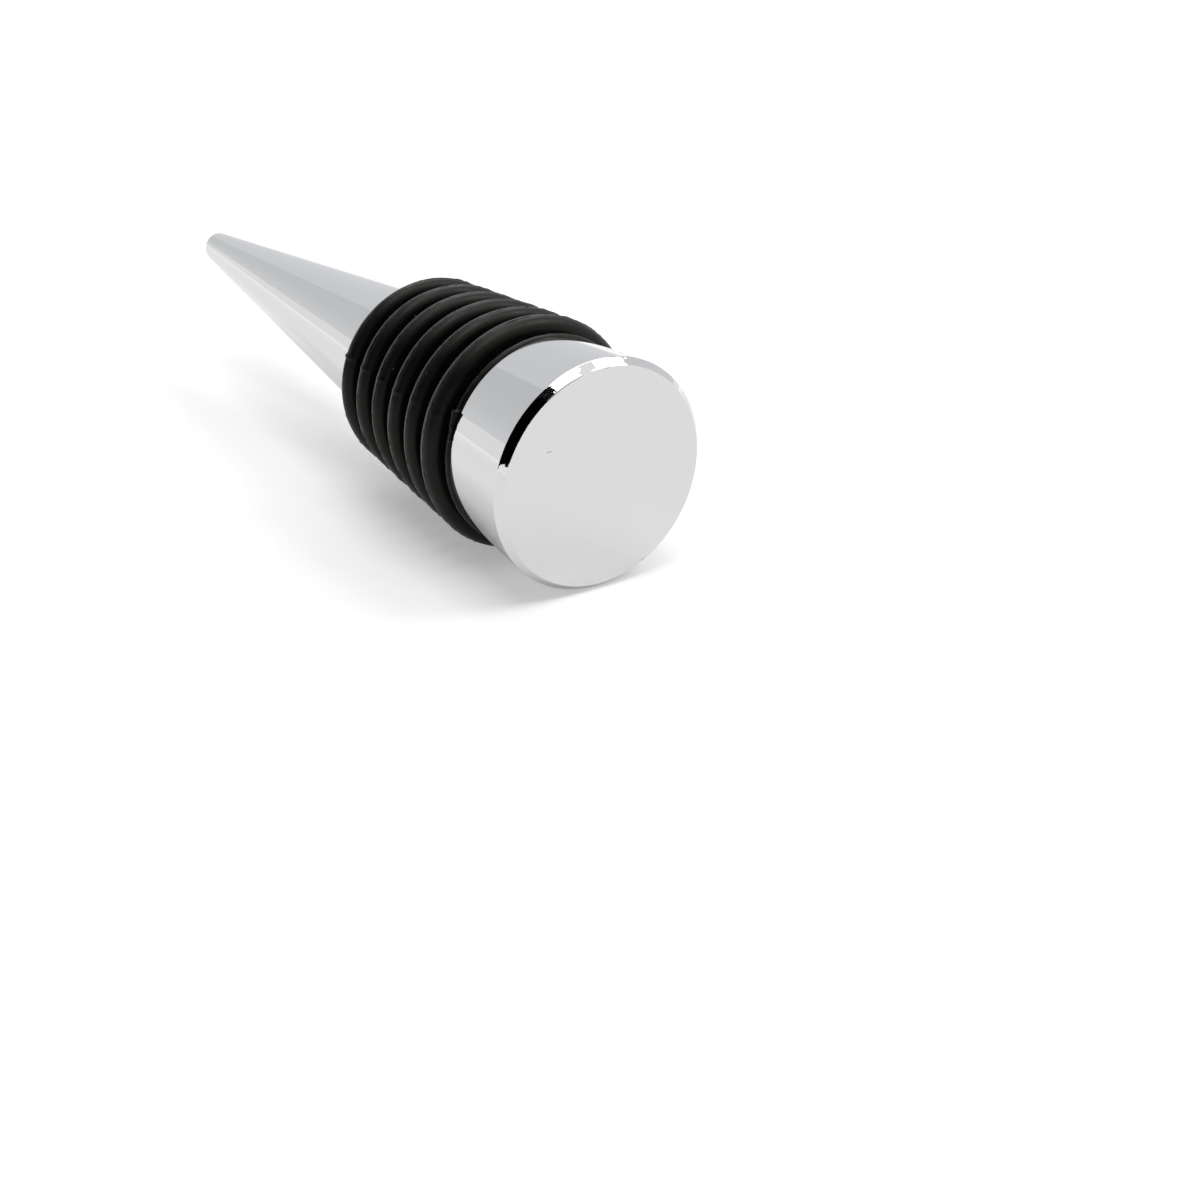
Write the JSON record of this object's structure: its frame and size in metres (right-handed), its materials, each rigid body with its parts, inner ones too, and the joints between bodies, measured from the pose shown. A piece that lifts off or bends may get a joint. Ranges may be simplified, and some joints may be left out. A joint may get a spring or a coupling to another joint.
{
  "type": "wine stopper",
  "caption": "Weighted metal wine stopper: round flat-ended head, ribbed rubber sealing sleeve and a long tapered cone.",
  "frame": {"origin": "centre of the head's flat end face, which the part stands on", "axes": "+Z along the stopper's axis from the end face to the cone's tip"},
  "size_m": [0.022, 0.022, 0.083],
  "materials": {
    "metal_body": "polished chrome plate over a zinc casting",
    "rubber_sleeve": "matte moulded rubber"
  },
  "bodies": {
    "root": {"metal_body": "metal_body", "rubber_sleeve": "rubber_sleeve"}
  },
  "joints": []
}
